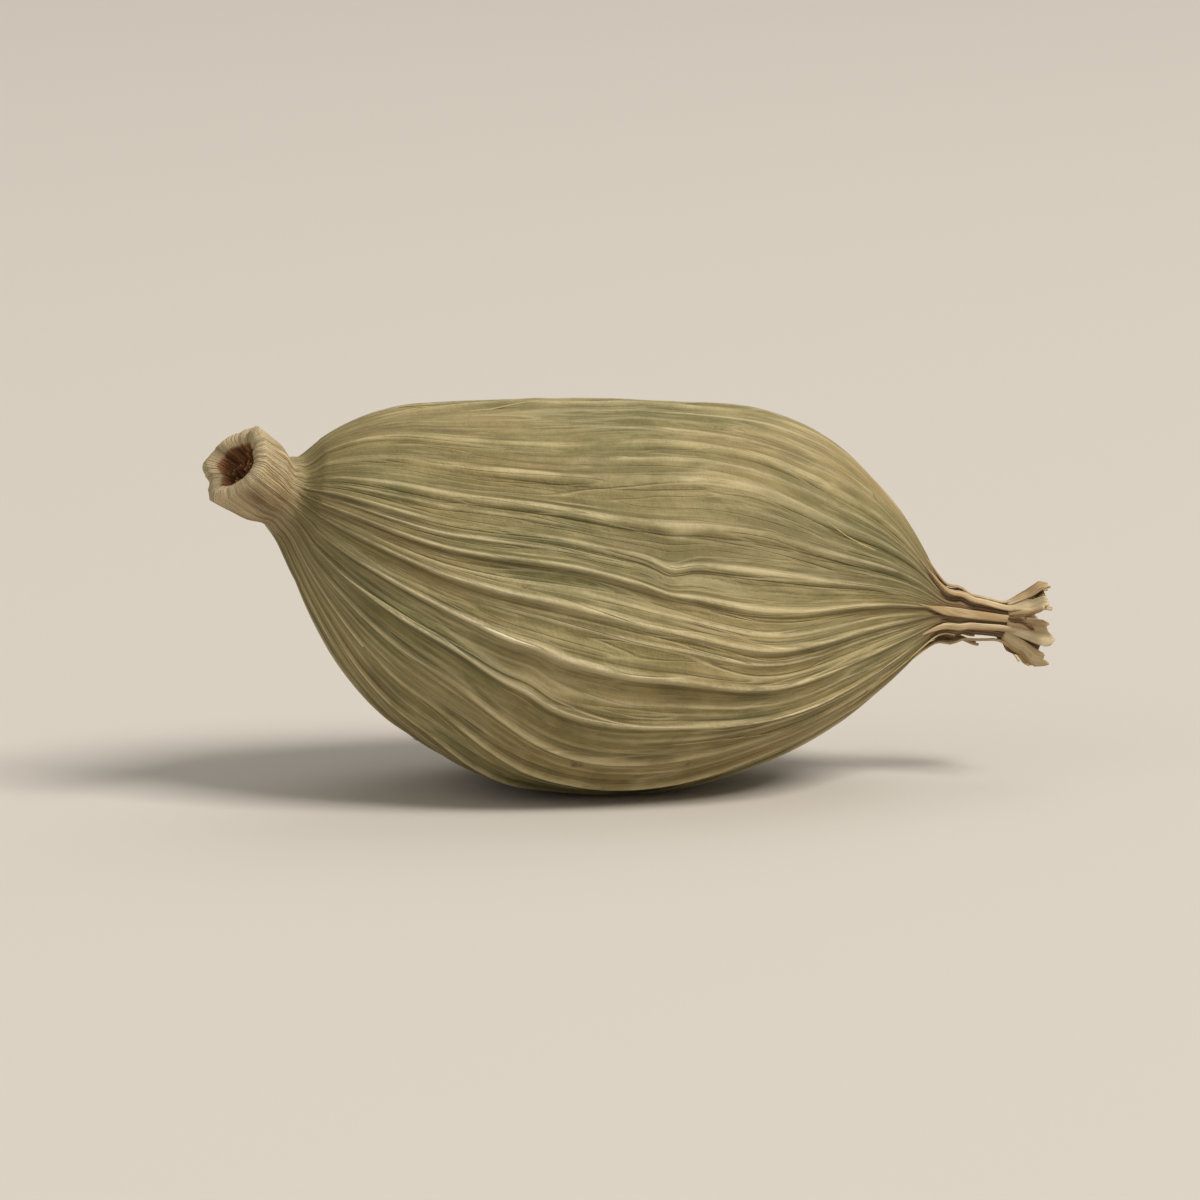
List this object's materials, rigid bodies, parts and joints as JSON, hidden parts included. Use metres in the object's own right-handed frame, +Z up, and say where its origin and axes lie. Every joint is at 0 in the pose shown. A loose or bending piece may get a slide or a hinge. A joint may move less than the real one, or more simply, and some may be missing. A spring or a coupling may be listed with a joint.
{
  "type": "green cardamom pod",
  "caption": "Dried green cardamom pod lying on its side: ribbed three-sided spindle husk with a cupped stalk stub and a thin collared beak.",
  "frame": {"origin": "on the surface that the pod lies on, at the middle of its small flat resting spot", "axes": "+Z up from the surface; +X along the pod from its stalk end to its pointed beak end; +Y across the pod"},
  "size_m": [0.0138, 0.0069, 0.0065],
  "materials": {
    "pod_husk": "dry, papery and finely ribbed, with a low satin sheen; olive green with straw-coloured ribs and pale tan ends"
  },
  "bodies": {
    "root": {"cardamom_pod": "pod_husk"}
  },
  "joints": []
}
